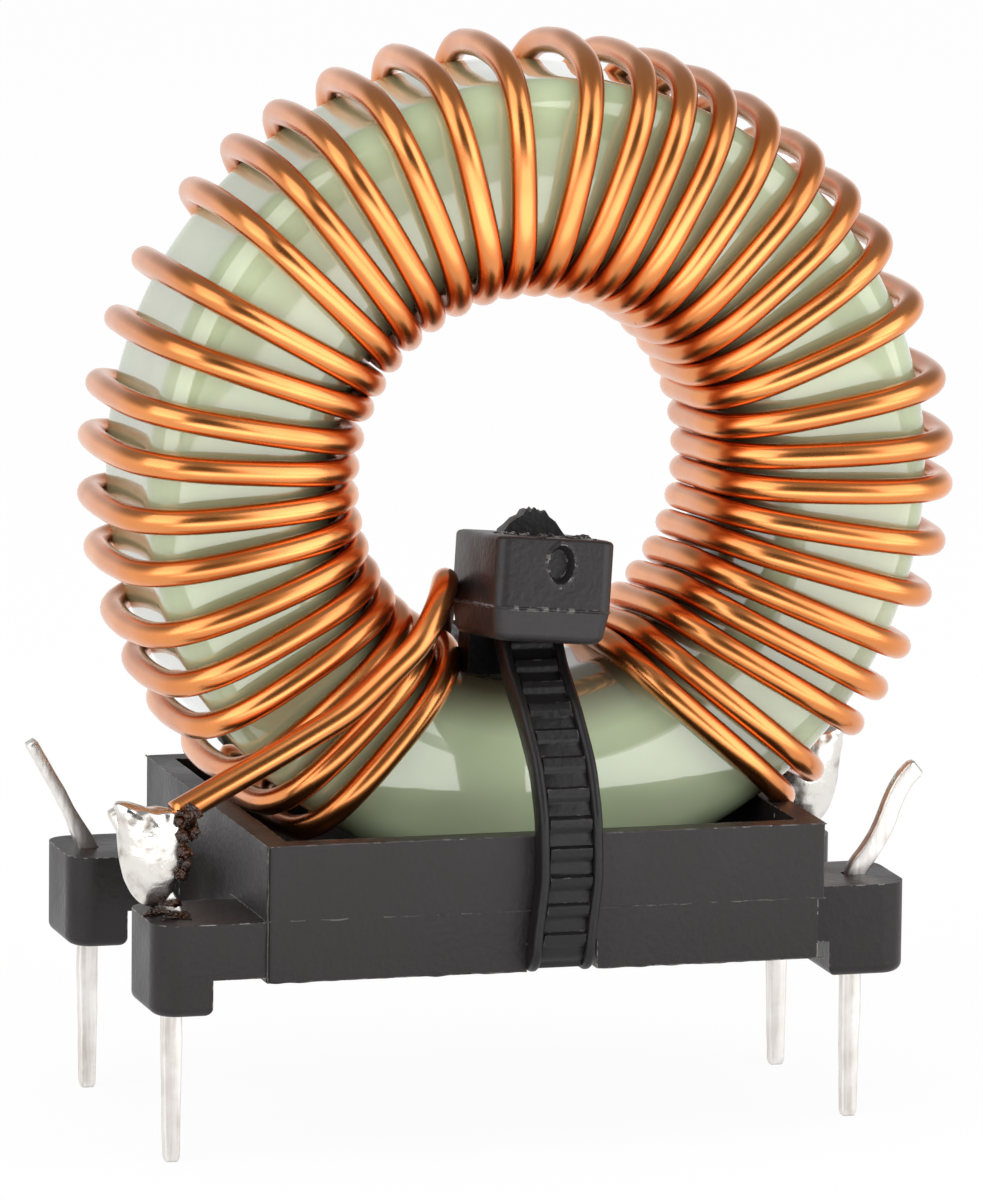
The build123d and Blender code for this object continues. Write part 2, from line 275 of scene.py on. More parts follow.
@dataclass(frozen=True)
class EnamelledCopper:
    """Drawn copper under clear enamel."""

    bright: Colour = (0.87, 0.32, 0.09)
    deep: Colour = (0.69, 0.22, 0.05)
    mark: Colour = (0.16, 0.06, 0.03)
    dust: Colour = (0.80, 0.74, 0.68)
    gloss: Span = (0.25, 0.31)
    wave: float = 0.003 * MM

    def build(self) -> Material:
        """Wire up the copper.

        Returns:
            The wire's material.
        """
        surface = Surface("enamelled_copper")
        cloud = surface.effect(Effect.MOTTLE, scale=240.0)
        marks = surface.effect(Effect.SPECKS, scale=520.0, share=0.05, size=0.07)
        dust = surface.effect(Effect.SPECKS, scale=900.0, share=0.02, size=0.10)
        copper = surface.mix(cloud, self.bright, self.deep)
        marked = surface.mix(marks, copper, self.mark)
        surface.set(
            Base_Color=surface.mix(dust, marked, self.dust),
            Metallic=1.0,
            Roughness=surface.ramp(cloud, 0.0, 1.0, *self.gloss),
            Coat_Weight=0.5,
            Coat_Roughness=0.14,
            Coat_IOR=1.55,
        )
        surface.bump(surface.effect(Effect.MOTTLE, scale=520.0, detail=2.0), self.wave)
        return surface.material


@dataclass(frozen=True)
class EpoxyCoat:
    """Glossy sage-green epoxy with pinholes and flow marks, and painted shade darkening the ring's hole."""

    pale: Colour = (0.49, 0.57, 0.37)
    deep: Colour = (0.39, 0.48, 0.29)
    pinhole: Colour = (0.03, 0.035, 0.025)
    dust: Colour = (0.75, 0.78, 0.72)
    # Painted shade: colour, radii and strength of the darkening on the hole's wall, where the wires shade the
    # coat.
    painted_hole_shade: Colour = (0.09, 0.055, 0.03)
    painted_shade_reach: Span = (8.9 * MM, 10.6 * MM)
    painted_shade_share: float = 0.85
    gloss: Span = (0.04, 0.1)
    peel: float = 0.006 * MM

    def build(self, centre: Vector) -> Material:
        """Wire up the coat.

        Args:
            centre: Middle of the ring, from which the painted shade in the hole fades out.

        Returns:
            The core's material.
        """
        surface = Surface("epoxy_coat")
        away = surface.vector("SUBTRACT", surface.place, centre)
        radius = surface.vector("LENGTH", surface.vector("MULTIPLY", away, (1.0, 0.0, 1.0)))
        # Painted shade: the coat turns darker towards the ring's hole and fades out at the outer radius of
        # its reach.
        painted_shade_mask = surface.ramp(radius, *self.painted_shade_reach, self.painted_shade_share, 0.0)
        cloud = surface.effect(Effect.MOTTLE, scale=160.0)
        peel = surface.effect(Effect.MOTTLE, scale=420.0, detail=1.0)
        pits = surface.effect(Effect.SPECKS, scale=420.0, share=0.05, size=0.09)
        dust = surface.effect(Effect.SPECKS, scale=640.0, share=0.03, size=0.08)
        coat = surface.mix(cloud, self.pale, self.deep)
        pitted = surface.mix(pits, coat, self.pinhole)
        surface.set(
            Base_Color=surface.mix(painted_shade_mask, surface.mix(dust, pitted, self.dust), self.painted_hole_shade),
            Roughness=surface.ramp(cloud, 0.0, 1.0, *self.gloss),
            IOR=1.55,
            Coat_Weight=1.0,
            Coat_Roughness=0.03,
            Coat_IOR=1.55,
        )
        surface.bump(peel, self.peel, 0.6)
        return surface.material


@dataclass(frozen=True)
class MouldedPlastic:
    """Charcoal moulded plastic with pale flash on its edges and dust."""

    name: str = "moulded_plastic"
    body: Colour = (0.0135, 0.0103, 0.0108)
    cloudy: Colour = (0.0195, 0.0155, 0.0162)
    scuff: Colour = (0.36, 0.34, 0.33)
    gloss: Span = (0.32, 0.46)
    specular: float = 0.34
    wear_width: float = 0.09 * MM
    wear_breaks: float = 0.49
    dust_share: float = 0.09
    grain: float = 0.018 * MM

    def build(self) -> Material:
        """Wire up the plastic.

        Returns:
            A moulded piece's material.
        """
        surface = Surface(self.name)
        cloud = surface.effect(Effect.MOTTLE, scale=350.0)
        grain = surface.effect(Effect.MOTTLE, scale=3600.0, detail=2.0)
        dust = surface.effect(Effect.SPECKS, scale=900.0, share=self.dust_share, size=0.11)
        wear = surface.effect(Effect.EDGE_WEAR, width=self.wear_width, breaks=self.wear_breaks)
        plain = surface.mix(cloud, self.body, self.cloudy)
        marked = surface.mix(wear, plain, self.scuff)
        surface.set(
            Base_Color=surface.mix(dust, marked, self.scuff),
            Roughness=surface.ramp(cloud, 0.0, 1.0, *self.gloss),
            Specular_IOR_Level=self.specular,
        )
        surface.bump(grain, self.grain, 0.5)
        return surface.material


@dataclass(frozen=True)
class TinnedStrip:
    """Tinned flat strip with drawn lines and dull patches."""

    bright: Colour = (0.90, 0.87, 0.84)
    dull: Colour = (0.62, 0.56, 0.51)
    gloss: Span = (0.34, 0.5)
    groove: float = 0.01 * MM

    def build(self) -> Material:
        """Wire up the strip.

        Returns:
            The pins' material.
        """
        surface = Surface("tinned_strip")
        lines = surface.effect(Effect.STREAKS, across=5200.0, along=260.0)
        patch = surface.maths("MULTIPLY", surface.effect(Effect.MOTTLE, scale=900.0), lines)
        surface.set(
            Base_Color=surface.mix(patch, self.bright, self.dull),
            Metallic=1.0,
            Roughness=surface.ramp(lines, 0.0, 1.0, *self.gloss),
        )
        surface.bump(lines, self.groove, 0.6)
        return surface.material


@dataclass(frozen=True)
class BrightSolder:
    """Bright solder, wrinkled and pitted where it set last."""

    bright: Colour = (0.82, 0.79, 0.75)
    dull: Colour = (0.34, 0.30, 0.26)
    gloss: Span = (0.16, 0.38)
    wrinkle: float = 0.02 * MM

    def build(self) -> Material:
        """Wire up the solder.

        Returns:
            The joints' material.
        """
        surface = Surface("bright_solder")
        cloud = surface.effect(Effect.MOTTLE, scale=1300.0)
        wrinkle = surface.effect(Effect.MOTTLE, scale=2400.0, detail=4.0)
        surface.set(
            Base_Color=surface.mix(surface.maths("POWER", cloud, 3.0), self.bright, self.dull),
            Metallic=1.0,
            Roughness=surface.ramp(cloud, 0.0, 1.0, *self.gloss),
        )
        surface.bump(wrinkle, self.wrinkle, 0.5)
        return surface.material


@dataclass(frozen=True)
class BurntFlux:
    """Dark amber flux residue, glassy and lumpy."""

    amber: Colour = (0.060, 0.018, 0.006)
    char: Colour = (0.006, 0.004, 0.003)
    gloss: Span = (0.08, 0.3)
    lump: float = 0.06 * MM

    def build(self) -> Material:
        """Wire up the residue.

        Returns:
            The residue's material.
        """
        surface = Surface("burnt_flux")
        cloud = surface.effect(Effect.MOTTLE, scale=2200.0)
        lumps = surface.effect(Effect.MOTTLE, scale=4200.0, detail=2.0)
        surface.set(
            Base_Color=surface.mix(cloud, self.amber, self.char),
            Roughness=surface.ramp(lumps, 0.0, 1.0, *self.gloss),
            IOR=1.52,
        )
        surface.bump(lumps, self.lump, 0.7)
        return surface.material


def new_piece(name: str, mesh: Mesh, material: Material) -> Piece:
    """Link a mesh as a piece that rides on the part.

    Args:
        name: The piece's name.
        mesh: Its mesh, in the frame's place.
        material: Its finish.

    Returns:
        The new object.
    """
    piece = bpy.data.objects.new(name, mesh)
    bpy.context.scene.collection.objects.link(piece)
    mesh.materials.clear()
    mesh.materials.append(material)
    mesh.polygons.foreach_set("use_smooth", [True] * len(mesh.polygons))
    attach(piece, BODY)
    LOG.info("%s: %d faces", name, len(mesh.polygons))
    return piece


def grid_faces(rows: int, columns: int, closed_rows: bool) -> list[tuple[int, ...]]:
    """Join a grid of points whose columns wrap round.

    Args:
        rows: Number of rows of points.
        columns: Number of points in a row.
        closed_rows: Whether the last row joins the first.

    Returns:
        Four point numbers for each face.
    """
    faces = []
    for row in range(rows if closed_rows else rows - 1):
        start, after = row * columns, (row + 1) % rows * columns
        for column in range(columns):
            beside = (column + 1) % columns
            faces.append((start + column, start + beside, after + beside, after + column))
    return faces


def directions(points: np.ndarray) -> np.ndarray:
    """Return the unit direction of a line at each of its points."""
    ahead = np.gradient(points, axis=0)
    return ahead / np.linalg.norm(ahead, axis=1, keepdims=True)


def resample(points: np.ndarray, step: float) -> np.ndarray:
    """Place points evenly along a line.

    Args:
        points: The line's points.
        step: Distance between the new points.

    Returns:
        The new points, with both ends kept.
    """
    lengths = np.concatenate([[0.0], np.cumsum(np.linalg.norm(np.diff(points, axis=0), axis=1))])
    places = np.linspace(0.0, lengths[-1], max(2, round(lengths[-1] / step)))
    return np.stack([np.interp(places, lengths, column) for column in points.T], axis=1)


def soften(points: np.ndarray, reach: int) -> np.ndarray:
    """Round a line's corners by averaging neighbours, with both ends kept.

    Args:
        points: Evenly spaced points.
        reach: Neighbours to each side.

    Returns:
        The smoother points.
    """
    weights = np.hanning(2 * reach + 3)[1:-1]
    weights /= weights.sum()
    padded = np.concatenate([np.repeat(points[:1], reach, 0), points, np.repeat(points[-1:], reach, 0)])
    smooth = np.stack([np.convolve(column, weights, "valid") for column in padded.T], axis=1)
    smooth[0], smooth[-1] = points[0], points[-1]
    return smooth


def loft_mesh(name: str, rings: list[np.ndarray]) -> Mesh:
    """Join rings of points into a closed mesh.

    Args:
        name: The mesh's name.
        rings: Rings with equal numbers of points, in order.

    Returns:
        The mesh, with both ends capped.
    """
    rows, columns = len(rings), len(rings[0])
    faces = grid_faces(rows, columns, closed_rows=False)
    faces += [tuple(reversed(range(columns))), tuple(range((rows - 1) * columns, rows * columns))]
    mesh = bpy.data.meshes.new(name)
    mesh.from_pydata(np.concatenate(rings).tolist(), [], faces)
    shape = bmesh.new()
    shape.from_mesh(mesh)
    bmesh.ops.recalc_face_normals(shape, faces=shape.faces)
    shape.to_mesh(mesh)
    shape.free()
    return mesh


def tube_mesh(name: str, points: np.ndarray, radius: float, sides: int) -> Mesh:
    """Sweep a round section along a line.

    Args:
        name: The mesh's name.
        points: The line's points.
        radius: Radius of the section.
        sides: Points round the section.

    Returns:
        A closed mesh.
    """
    ahead = directions(points)
    side = np.cross(ahead[0], (0.0, 1.0, 0.0))
    turns = np.linspace(0.0, 2 * math.pi, sides, endpoint=False)
    rings = []
    for point, tangent in zip(points, ahead):
        side = side - tangent * np.dot(side, tangent)
        side /= np.linalg.norm(side)
        other = np.cross(tangent, side)
        rings.append(point + radius * (np.outer(np.cos(turns), side) + np.outer(np.sin(turns), other)))
    return loft_mesh(name, rings)


def lump_mesh(name: str, lumps: list[tuple[Vector, Vector]], roughness: float) -> Mesh:
    """Join rough lumps into one mesh.

    Args:
        name: The mesh's name.
        lumps: Middle and half sizes of each lump.
        roughness: How far noise moves a lump's surface, as a share of its size.

    Returns:
        The mesh.
    """
    coarse, fine, spread = 1.6, 3.0, 0.2 * MM
    shape = bmesh.new()
    for middle, size in lumps:
        for vertex in bmesh.ops.create_icosphere(shape, subdivisions=3, radius=1.0)["verts"]:
            seat = vertex.co * coarse + middle / spread
            push = 1.0 + roughness * noise.noise(seat) + 0.5 * roughness * noise.noise(seat * fine)
            vertex.co = middle + Vector(a * b for a, b in zip(vertex.co, size)) * push
    mesh = bpy.data.meshes.new(name)
    shape.to_mesh(mesh)
    shape.free()
    return mesh


@dataclass
class RingCore:
    """The coated ring core, whose place and outer size come from the frame."""

    node: str = "toroid_core"
    inner_radius: float = 8.4 * MM
    outer_edge: float = 1.4 * MM
    inner_edge: float = 3.0 * MM
    crown_share: float = 0.06
    coat_wobble: float = 0.03 * MM
    wobble_scale: float = 260.0
    segments: int = 288
    edge_steps: int = 8
    face_steps: int = 10

    def __post_init__(self) -> None:
        """Read the core's place and size from the frame."""
        low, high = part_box(self.node)
        self.centre = (low + high) / 2
        self.outer_radius = (high.x - low.x) / 2
        self.half_height = (high.y - low.y) / 2

    def point(self, radius: float, angle: float, depth: float) -> Vector:
        """Return a place by its radius, angle and depth from the core's middle."""
        turned = math.radians(angle)
        return self.centre + Vector((radius * math.sin(turned), depth, -radius * math.cos(turned)))

    def outline(self) -> list[Span]:
        """Go round the core's section, with its edges rounded and its faces crowned.

        Returns:
            Radius and depth of each point.
        """
        outer, inner = self.outer_radius - self.outer_edge, self.inner_radius + self.inner_edge
        corners = (
            (outer, self.half_height - self.outer_edge, self.outer_edge, 0.0),
            (inner, self.half_height - self.inner_edge, self.inner_edge, 90.0),
            (inner, self.inner_edge - self.half_height, self.inner_edge, 180.0),
            (outer, self.outer_edge - self.half_height, self.outer_edge, 270.0),
        )
        line = []
        for radius, depth, edge, start in corners:
            for step in range(self.edge_steps + 1):
                turn = math.radians(start + 90.0 * step / self.edge_steps)
                line.append((radius + edge * math.cos(turn), depth + edge * math.sin(turn)))
        dense = []
        for (r0, y0), (r1, y1) in zip(line, line[1:] + line[:1]):
            steps = self.face_steps if math.hypot(r1 - r0, y1 - y0) > self.outer_edge else 1
            dense += [(r0 + (r1 - r0) * k / steps, y0 + (y1 - y0) * k / steps) for k in range(steps)]
        middle, half = (outer + inner) / 2, (self.outer_radius - self.inner_radius) / 2
        return [(r, y * (1 - self.crown_share * ((r - middle) / half) ** 2)) for r, y in dense]

    def build(self, finish: EpoxyCoat) -> Piece:
        """Turn the section about the core's axis, with the slow waves of a dipped coat.

        Args:
            finish: The coat's finish.

        Returns:
            The piece.
        """
        line = self.outline()
        points = []
        for segment in range(self.segments):
            for radius, depth in line:
                spot = self.point(radius, 360.0 * segment / self.segments, depth)
                wave = noise.noise(spot * self.wobble_scale)
                points.append(spot + spot.normalized() * self.coat_wobble * wave)
        mesh = bpy.data.meshes.new("core_coat")
        mesh.from_pydata(points, [], grid_faces(self.segments, len(line), closed_rows=True))
        piece = new_piece("core_coat", mesh, finish.build(self.centre))
        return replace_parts(piece, self.node)


@dataclass
class Winding:
    """One enamelled wire, wound through the ring turn by turn, with a lead at each end."""

    core: RingCore
    node: str = "winding"
    wire_radius: float = 0.545 * MM
    seat_gap: float = 0.03 * MM
    rim_gap: float = 0.34 * MM
    rim_bow: Span = (0.12 * MM, 0.28 * MM)
    face_bow: Span = (0.06 * MM, 0.168 * MM)
    outer_lift: float = 0.25 * MM
    inner_bend: float = 3.4 * MM
    outer_bend: float = 2.9 * MM
    bend_steps: int = 9
    first_inner_angle: float = 29.0
    first_outer_angle: float = 38.25
    back_inner_share: float = 0.5
    entry_share: float = 0.4
    near_radius: float = 9.4 * MM
    step: float = 0.28 * MM
    bend_reach: int = 5
    turn_reach: int = 11
    sides: int = 18
    inner_gaps: tuple[float, ...] = (
        8.1, 9.3, 8.1, 8.1, 8.4, 8.1, 8.1, 8.1, 8.3, 9.4, 8.4, 8.1, 8.1, 8.3, 8.1, 8.1, 8.1, 8.1,
        9.2, 8.3, 9.0, 8.9, 8.4, 8.4, 9.1, 8.1, 9.4, 8.1, 8.2, 8.1, 8.1, 8.6, 8.1, 8.1, 8.5, 8.1,
    )
    outer_gaps: tuple[float, ...] = (
        5.3, 8.5, 5.8, 6.5, 7.8, 7.5, 8.0, 6.2, 8.5, 11.0, 9.8, 7.8, 7.5, 8.2, 7.2, 6.2, 6.0, 8.0,
        11.5, 9.8, 8.8, 8.8, 7.5, 8.2, 11.5, 8.8, 9.2, 7.2, 8.0, 7.5, 9.0, 7.5, 6.8, 8.0, 6.5, 6.0,
    )
    finish_points: tuple[Point, ...] = (
        (-2.65, -4.6, 16.77), (-3.29, -6.2, 16.04), (-4.3, -7.1, 14.55), (-7.21, -7.1, 11.87),
        (-10.18, -7.1, 10.21), (-12.51, -7.15, 8.99), (-14.6, -7.2, 7.9),
    )
    start_points: tuple[Point, ...] = ((15.0, 5.1, 7.3), (12.6, 5.5, 7.9))
    seed: int = 11

    def bend(self, radius: float, depth: float, reach: float, start: float) -> list[Span]:
        """Go round one bend of a turn.

        Args:
            radius: Radius of the bend's middle about the core's axis.
            depth: Depth of the bend's middle.
            reach: Radius of the bend.
            start: Angle of its first point in the section.

        Returns:
            Radius and depth of each point.
        """
        turns = [math.radians(start + 90.0 * step / self.bend_steps) for step in range(self.bend_steps + 1)]
        return [(radius + reach * math.cos(turn), depth + reach * math.sin(turn)) for turn in turns]

    def strand_angle(self, near: float, far: float, outer: float) -> Callable[[float], float]:
        """Find the angle at each radius of a straight strand across a face.

        Args:
            near: Its angle at the near radius.
            far: Its angle at the outer radius.
            outer: The outer radius.

        Returns:
            A function from a radius to an angle.
        """
        inner, turn = self.near_radius, math.radians(far - near)
        across = outer * math.sin(turn)
        offset = inner * across / math.hypot(across, outer * math.cos(turn) - inner)
        start = math.degrees(math.asin(offset / inner))
        return lambda radius: near + start - math.degrees(math.asin(offset / max(radius, abs(offset))))

    def on_ring(self, places: np.ndarray) -> np.ndarray:
        """Turn rows of radius, angle and depth round the core into points.

        Args:
            places: One row for each point.

        Returns:
            The points in the frame.
        """
        turned = np.radians(places[:, 1])
        away = [places[:, 0] * np.sin(turned), places[:, 2], -places[:, 0] * np.cos(turned)]
        return np.array(self.core.centre) + np.stack(away, axis=1)

    def route(self) -> np.ndarray:
        """Lead the wire in, round the ring turn by turn, and out again.

        Returns:
            The points of its middle line.
        """
        core, draw = self.core, random.Random(self.seed)
        inner = core.inner_radius - self.wire_radius - self.seat_gap
        outer = core.outer_radius + self.wire_radius + self.rim_gap
        face = core.half_height + self.wire_radius + self.seat_gap
        rim = face + self.outer_lift - self.outer_bend
        outer_middle, inner_middle = outer - self.outer_bend, inner + self.inner_bend
        face_middle = (outer_middle + inner_middle) / 2
        inner_angles = np.cumsum((self.first_inner_angle, *self.inner_gaps))
        outer_angles = np.cumsum((self.first_outer_angle, *self.outer_gaps))
        entry = self.first_inner_angle - self.inner_gaps[0] * self.entry_share
        rear_inner = self.bend(inner_middle, face - self.inner_bend, self.inner_bend, 90.0)
        places = [(radius, entry, depth) for radius, depth in rear_inner]
        for near, far, gap in zip(inner_angles, outer_angles, (*self.inner_gaps, self.inner_gaps[-1])):
            bow = draw.uniform(*self.face_bow) + self.outer_lift / 2
            rise = draw.uniform(*self.rim_bow)
            front = self.strand_angle(near, far, outer)
            back = self.strand_angle(near + gap * self.back_inner_share, far, outer)
            front_line = self.bend(inner_middle, self.inner_bend - face, self.inner_bend, 180.0)
            front_line.append((face_middle, -face - bow))
            front_line += self.bend(outer_middle, -rim, self.outer_bend, 270.0)
            back_line = self.bend(outer_middle, rim, self.outer_bend, 0.0)
            back_line += [(face_middle, face + bow)] + rear_inner
            places += [(radius, front(radius), depth) for radius, depth in front_line]
            places.append((outer + rise, far, 0.0))
            places += [(radius, back(radius), depth) for radius, depth in back_line]
        turns = resample(self.on_ring(np.array(places)), self.step)
        away = turns - np.array(core.centre)
        radius = np.hypot(away[:, 0], away[:, 2])
        angle = np.degrees(np.unwrap(np.arctan2(away[:, 0], -away[:, 2])))
        slow = soften(angle[:, None], self.turn_reach)[:, 0]
        quick = soften(np.stack([radius, slow, away[:, 1]], axis=1), self.bend_reach)
        start, finish = (np.array(points) * MM for points in (self.start_points, self.finish_points))
        line = np.concatenate([start, self.on_ring(quick), finish])
        return resample(soften(resample(line, self.step), self.bend_reach), self.step)

    def build(self, finish: EnamelledCopper) -> Piece:
        """Sweep the wire along its route.

        Args:
            finish: The wire's finish.

        Returns:
            The piece.
        """
        mesh = tube_mesh("wire_turns", self.route(), self.wire_radius, self.sides)
        piece = new_piece("wire_turns", mesh, finish.build())
        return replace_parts(piece, self.node)


@dataclass
class StripPin:
    """One pin of flat strip: tapered below its lug, bent above it, with sheared edges."""

    place: str
    top: tuple[Span, ...]
    width: float = 0.82 * MM
    thickness: float = 0.6 * MM
    tip_share: float = 0.76
    top_share: float = 0.8
    top_haste: float = 3.0
    taper_top: float = -1.4 * MM
    corner: float = 0.1 * MM
    blunt_ends: Span = (0.8, 0.94)
    ragged: float = 0.035 * MM
    burr_share: float = 0.6
    sway_scale: float = 420.0
    burr_scale: float = 1100.0
    burr_shift: float = 7.0
    step: float = 0.1 * MM
    bend_reach: int = 6
    end_reach: int = 3

    def section(self) -> list[Span]:
        """Go round the strip's rounded section.

        Returns:
            Share of the half width and depth of each point.
        """
        half, round_share = self.thickness / 2, 2 * self.corner / self.width
        spots = []
        for a, b, start in ((1, 1, 0), (-1, 1, 90), (-1, -1, 180), (1, -1, 270)):
            for turn in (0, 45, 90):
                bend = math.radians(start + turn)
                spots.append((a * (1 - round_share) + round_share * math.cos(bend),
                              b * (half - self.corner) + self.corner * math.sin(bend)))
        return spots

    def burr(self, point: np.ndarray, side_share: float) -> float:
        """Return how far a sheared edge stands out at a point."""
        seat = Vector(point * self.burr_scale) + Vector((0.0, self.burr_shift * side_share, 0.0))
        return self.burr_share * self.ragged * side_share * noise.noise(seat)

    def build(self, material: Material) -> Piece:
        """Loft the strip along its bent middle line.

        Args:
            material: The pin's finish.

        Returns:
            The piece.
        """
        node = "pin_" + self.place
        low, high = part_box(node)
        side = -1 if "left" in self.place else 1
        shank = high.x - self.width / 2 if side < 0 else low.x + self.width / 2
        row, lug = (low.y + high.y) / 2, self.top[0][1] * MM
        line = [(shank, row, low.z), (shank, row, 0.0)]
        line += [(shank + side * out * MM, row, up * MM) for out, up in self.top]
        points = soften(resample(np.array(line), self.step), self.bend_reach)
        points = soften(resample(points, self.step), self.end_reach)
        rings = []
        for index, (point, tangent) in enumerate(zip(points, directions(points))):
            near_end = min(index, len(points) - 1 - index)
            blunt = self.blunt_ends[near_end] if near_end < 2 else 1.0
            below = np.clip((self.taper_top - point[2]) / (self.taper_top - low.z), 0.0, 1.0)
            above = np.clip((point[2] - lug) / (high.z - lug), 0.0, 1.0)
            narrowing = (1 - self.tip_share) * below + (1 - self.top_share) * min(1.0, self.top_haste * above)
            half = self.width * (1 - narrowing) * blunt / 2
            across = np.array([tangent[2], 0.0, -tangent[0]])
            sway = self.ragged * noise.noise(Vector(point * self.sway_scale) + Vector((row / MM, 0.0, 0.0)))
            rings.append(np.array([
                point + across * (a * half + sway + self.burr(point, a)) + np.array([0.0, b * blunt, 0.0])
                for a, b in self.section()
            ]))
        piece = new_piece(node + "_strip", loft_mesh(node + "_strip", rings), material)
        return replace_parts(piece, node)


@dataclass
class SolderJoint:
    """Solder that ran down a leaning pin, with burnt flux where the lead goes in.

    Its tables, and the spans of its crust and residue, are in millimetres out from the pin, back and up.
    """

    place: str
    shift: float = 0.0
    drop: float = 0.0
    seed: int = 5
    pin_x: float = 14.7 * MM
    heights: tuple[float, ...] = (4.14, 4.3, 4.7, 5.3, 6.1, 7.1, 7.8, 8.1, 8.2, 8.15)
    middles: tuple[float, ...] = (0.86, 0.86, 0.87, 0.89, 0.9, 0.92, 1.05, 1.15, 1.2, 1.2)
    halves: tuple[float, ...] = (0.1, 0.5, 0.85, 1.12, 1.3, 1.38, 1.42, 1.3, 0.8, 0.05)
    depths: tuple[float, ...] = (0.1, 0.4, 0.62, 0.78, 0.9, 0.95, 0.88, 0.7, 0.4, 0.03)
    tip_rise: float = 0.45 * MM
    tip_from: float = 0.9
    tip_reach: float = 1.6
    wrinkle: float = 0.16 * MM
    wrinkle_scale: float = 2300.0
    wrinkle_from: float = 6.6
    wrinkle_reach: float = 1.6
    wrinkle_lift: float = 0.4
    inner_from: float = 0.3
    calm: float = 0.06
    lively: float = 0.8
    rows: int = 64
    row_reach: int = 4
    columns: int = 72
    squareness: float = 2.5
    crust_count: int = 90
    crust_up: Span = (5.4, 8.3)
    crust_back: Span = (-0.8, 0.6)
    crust_size: Span = (0.07, 0.26)
    crust_tall: Span = (0.8, 1.2)
    crust_out: float = -0.05
    crust_depth: Span = (0.35, 0.2)
    crust_rough: float = 0.55
    residue_count: int = 40
    residue_lifts: tuple[float, ...] = (0.0, 0.0, 0.25, 0.5)
    residue_out: Span = (-0.8, 0.8)
    residue_back: Span = (-1.6, 0.8)
    residue_size: Span = (0.06, 0.3)
    residue_shift: float = 0.3
    residue_flat: float = 0.5
    residue_rough: float = 0.6
    lug_top: float = 3.84

    def __post_init__(self) -> None:
        """Read the joint's row from the frame."""
        self.node = "solder_joint_" + self.place
        low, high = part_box(self.node)
        self.side = -1 if "left" in self.place else 1
        self.row = (low.y + high.y) / 2

    def spot(self, out: float, back: float, up: float) -> Vector:
        """Return a place from its distances in millimetres out from the pin, back and up."""
        x = self.side * (self.pin_x + (out + self.shift) * MM)
        return Vector((x, self.row + back * MM, up * MM + self.drop))

    def ring(self, up: float, middle: float, half: float, depth: float) -> np.ndarray:
        """Go round the solder at one height, wrinkled at the top and the inner side.

        Args:
            up: The height.
            middle: Distance of the ring's middle out from the pin.
            half: Half of its width.
            depth: Half of its depth.

        Returns:
            The ring's points.
        """
        power, top = 2.0 / self.squareness, max(0.0, (up - self.wrinkle_from) / self.wrinkle_reach)
        points = []
        for column in range(self.columns):
            turn = 2 * math.pi * column / self.columns
            across, back = math.cos(turn), math.sin(turn)
            out = middle + half * math.copysign(abs(across) ** power, across)
            spot = self.spot(out, depth * math.copysign(abs(back) ** power, back), up)
            spot.z += self.tip_rise * top * max(0.0, (out - self.tip_from) / self.tip_reach)
            inner = max(0.0, -across - self.inner_from)
            share = self.calm + self.lively * min(1.0, top * top + inner * self.lively)
            push = self.wrinkle * share * noise.noise(spot * self.wrinkle_scale)
            points.append(spot + Vector((self.side * across, back, self.wrinkle_lift)) * push)
        return np.array([list(point) for point in points])

    def drop_mesh(self) -> Mesh:
        """Loft the solder from its tables.

        Returns:
            The mesh.
        """
        shares, knots = np.linspace(0.0, len(self.heights) - 1.0, self.rows), np.arange(len(self.heights))
        tables = (self.heights, self.middles, self.halves)
        curves = np.stack([np.interp(shares, knots, table) for table in tables], axis=1)
        curves = soften(curves, self.row_reach)
        depths = np.interp(shares, knots, self.depths)
        rings = [self.ring(*curve, depth) for curve, depth in zip(curves, depths)]
        return loft_mesh(self.node + "_drop", rings)

    def build(self, solder: Material, flux: Material) -> Piece:
        """Make the solder, its crust and the residue on the lug.

        Args:
            solder: Finish of the solder.
            flux: Finish of the burnt flux.

        Returns:
            The solder piece.
        """
        piece = new_piece(self.node + "_drop", self.drop_mesh(), solder)
        draw = random.Random(self.seed)
        crust, residue = [], []
        for _ in range(self.crust_count):
            up = draw.uniform(*self.crust_up)
            deep = self.crust_depth[0] + self.crust_depth[1] * (up - self.crust_up[0])
            out = self.crust_out - deep * draw.random()
            size = draw.uniform(*self.crust_size) * MM
            spot = self.spot(out, draw.uniform(*self.crust_back), up)
            crust.append((spot, Vector((size, size, size * draw.uniform(*self.crust_tall)))))
        for _ in range(self.residue_count):
            size = draw.uniform(*self.residue_size) * MM
            lift = draw.choice(self.residue_lifts)
            out = self.residue_shift + (1.0 - lift) * draw.uniform(*self.residue_out)
            spot = self.spot(out, (1.0 - lift) * draw.uniform(*self.residue_back), self.lug_top + lift)
            spot.z -= self.drop
            residue.append((spot, Vector((size, size, size * self.residue_flat))))
        flux_lumps = (("_crust", crust, self.crust_rough), ("_residue", residue, self.residue_rough))
        for name, lumps, rough in flux_lumps:
            new_piece(self.node + name, lump_mesh(self.node + name, lumps, rough), flux)
        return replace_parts(piece, self.node)


